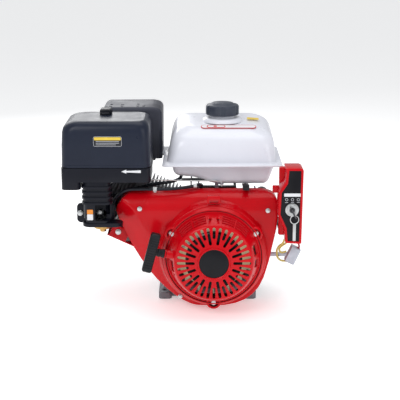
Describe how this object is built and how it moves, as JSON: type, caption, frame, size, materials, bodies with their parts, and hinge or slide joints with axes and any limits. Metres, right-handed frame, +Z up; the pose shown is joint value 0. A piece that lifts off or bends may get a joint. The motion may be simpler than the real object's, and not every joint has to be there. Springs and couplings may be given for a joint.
{
  "type": "small gasoline engine",
  "caption": "Horizontal-shaft air-cooled single-cylinder gasoline engine with fuel tank, air cleaner, muffler, recoil starter and key switch box.",
  "frame": {"origin": "centre of the base bolt pattern, on the plane the base stands on", "axes": "+Z up, +Y out along the output shaft, -Y towards the recoil starter, +X to the right of someone facing the recoil starter"},
  "size_m": [0.526, 0.4175, 0.446],
  "materials": {
    "cast_aluminium": "cast, fine grain",
    "machined_steel": "turned and ground",
    "zinc_steel": "zinc plated",
    "cast_iron": "as cast",
    "red_paint": "gloss powder coat",
    "white_paint": "gloss paint",
    "grey_paint": "matt heat-proof paint",
    "black_plastic": "fine moulded grain",
    "beige_plastic": "moulded nylon",
    "black_rubber": "matt",
    "foam": "pleated paper and foam",
    "brass": "yellow passivated",
    "white_ceramic": "glazed",
    "rope": "braided"
  },
  "bodies": {
    "engine": {"crankcase": "cast_aluminium", "side_cover": "cast_aluminium", "bearings_and_seals": "machined_steel", "cylinder_sleeve": "cast_iron", "cylinder_head": "cast_aluminium", "head_cover": "cast_aluminium", "spark_plug": "white_ceramic", "ignition_coil": "black_plastic", "ignition_lead": "black_rubber", "piston": "cast_aluminium", "piston_pin_and_rings": "machined_steel", "connecting_rod": "cast_aluminium", "valve_set": "machined_steel", "valve_gear": "machined_steel", "carburetor": "cast_aluminium", "float_bowl": "brass", "intake_spacer": "black_plastic", "intake_elbow": "black_plastic", "air_cleaner_base": "black_plastic", "air_filter": "foam", "muffler": "grey_paint", "muffler_cover": "grey_paint", "fuel_tank": "white_paint", "tank_bracket": "zinc_steel", "fuel_hose": "black_rubber", "fan_cover": "red_paint", "recoil_housing": "red_paint", "hub_label": "black_plastic", "lower_shroud": "red_paint", "control_base": "zinc_steel", "switch_box": "red_paint", "switch_panel": "black_plastic", "starter_motor": "black_plastic", "regulator": "cast_aluminium", "wiring": "black_rubber", "case_bolts": "zinc_steel", "cover_bolts": "zinc_steel", "starter_rope": "rope"},
    "crank": {"crankshaft": "machined_steel", "flywheel": "cast_iron", "cooling_fan": "beige_plastic", "starter_cup": "black_plastic"},
    "big_end": {"rod_big_end": "cast_aluminium"},
    "cam": {"camshaft": "machined_steel"},
    "balancer": {"balancer_shaft": "machined_steel"},
    "governor_gear_body": {"governor_gear": "beige_plastic"},
    "reel": {"recoil_reel": "black_plastic"},
    "handle": {"starter_handle": "black_plastic"},
    "throttle_control": {"throttle_lever": "black_plastic"},
    "governor_lever": {"governor_arm": "zinc_steel"},
    "governor_link": {"governor_rod": "zinc_steel"},
    "throttle": {"carb_throttle_arm": "brass"},
    "choke": {"choke_lever": "black_plastic"},
    "fuel_valve": {"fuel_valve_lever": "black_plastic"},
    "key": {"ignition_key": "zinc_steel"},
    "key_tag": {"key_ring": "zinc_steel"},
    "cap": {"fuel_cap": "black_plastic"},
    "oil_stick": {"dipstick": "black_plastic"},
    "cleaner_lid": {"air_cleaner_cover": "black_plastic"},
    "pinion": {"starter_pinion": "machined_steel"}
  },
  "joints": [
    {"name": "crankshaft_spin", "type": "hinge", "parent": "engine", "child": "crank", "pos_m": [0.013, 0, 0.133], "axis": [0, 1, 0], "continuous": true},
    {"name": "rod_big_end_turn", "type": "hinge", "parent": "crank", "child": "big_end", "pos_m": [-0.01691, 0.012, 0.14695], "axis": [0, 1, 0], "continuous": true},
    {"name": "camshaft_spin", "type": "hinge", "parent": "engine", "child": "cam", "pos_m": [-0.05168, 0, 0.10137], "axis": [0, 1, 0], "continuous": true},
    {"name": "balancer_spin", "type": "hinge", "parent": "engine", "child": "balancer", "pos_m": [0.06302, 0, 0.08121], "axis": [0, 1, 0], "continuous": true},
    {"name": "governor_gear_spin", "type": "hinge", "parent": "engine", "child": "governor_gear_body", "pos_m": [-0.00444, 0, 0.05246], "axis": [0, 1, 0], "continuous": true},
    {"name": "starter_pull", "type": "slide", "parent": "engine", "child": "handle", "axis": [-0.9848, 0, 0.1736], "range_m": [0, 0.45]},
    {"name": "reel_spin", "type": "hinge", "parent": "engine", "child": "reel", "pos_m": [0.013, 0, 0.133], "axis": [0, 1, 0], "range_deg": [-450, 2]},
    {"name": "throttle_control_turn", "type": "hinge", "parent": "engine", "child": "throttle_control", "pos_m": [0.084, -0.09, 0.27], "axis": [0, 0, 1], "range_deg": [-15, 40]},
    {"name": "governor_arm_swing", "type": "hinge", "parent": "engine", "child": "governor_lever", "pos_m": [0.02, -0.092, 0.284], "axis": [0, 0, 1], "range_deg": [-30, 30]},
    {"name": "governor_rod_swing", "type": "hinge", "parent": "governor_lever", "child": "governor_link", "pos_m": [0.031, -0.11105, 0.284], "axis": [0, 0, 1], "range_deg": [-30, 30]},
    {"name": "throttle_shaft_turn", "type": "hinge", "parent": "engine", "child": "throttle", "pos_m": [-0.236, -0.092, 0.256], "axis": [0, 0, 1], "range_deg": [-30, 30]},
    {"name": "choke_turn", "type": "hinge", "parent": "engine", "child": "choke", "pos_m": [-0.248, -0.112, 0.248], "axis": [0, 0, 1], "range_deg": [-60, 0]},
    {"name": "fuel_valve_turn", "type": "hinge", "parent": "engine", "child": "fuel_valve", "pos_m": [-0.264, -0.084, 0.214], "axis": [1, 0, 0], "range_deg": [0, 90]},
    {"name": "key_turn", "type": "hinge", "parent": "engine", "child": "key", "pos_m": [0.18, -0.2, 0.249], "axis": [0, 1, 0], "range_deg": [0, 70]},
    {"name": "key_ring_hang", "type": "hinge", "parent": "key", "child": "key_tag", "pos_m": [0.1835, -0.226, 0.2429], "axis": [0, 1, 0], "range_deg": [-70, 0]},
    {"name": "fuel_cap_lift", "type": "slide", "parent": "engine", "child": "cap", "axis": [0, 0, 1], "range_m": [0, 0.05]},
    {"name": "dipstick_pull", "type": "slide", "parent": "engine", "child": "oil_stick", "axis": [-0.866, 0, 0.5], "range_m": [0, 0.06]},
    {"name": "air_cleaner_cover_lift", "type": "slide", "parent": "engine", "child": "cleaner_lid", "axis": [0, 0, 1], "range_m": [0, 0.13]},
    {"name": "starter_pinion_spin", "type": "hinge", "parent": "engine", "child": "pinion", "pos_m": [0.119, 0, 0.173], "axis": [0, 1, 0], "continuous": true}
  ],
  "couplings": [
    {"joint": "rod_big_end_turn", "follows": "crankshaft_spin", "ratio": -1},
    {"joint": "camshaft_spin", "follows": "crankshaft_spin", "ratio": -0.5},
    {"joint": "balancer_spin", "follows": "crankshaft_spin", "ratio": -1},
    {"joint": "governor_gear_spin", "follows": "crankshaft_spin", "ratio": 1.2},
    {"joint": "reel_spin", "follows": "starter_pull", "rad_per_m": -17.094},
    {"joint": "governor_rod_swing", "follows": "governor_arm_swing", "ratio": -1},
    {"joint": "throttle_shaft_turn", "follows": "governor_arm_swing", "ratio": 1},
    {"joint": "key_ring_hang", "follows": "key_turn", "ratio": -1}
  ]
}
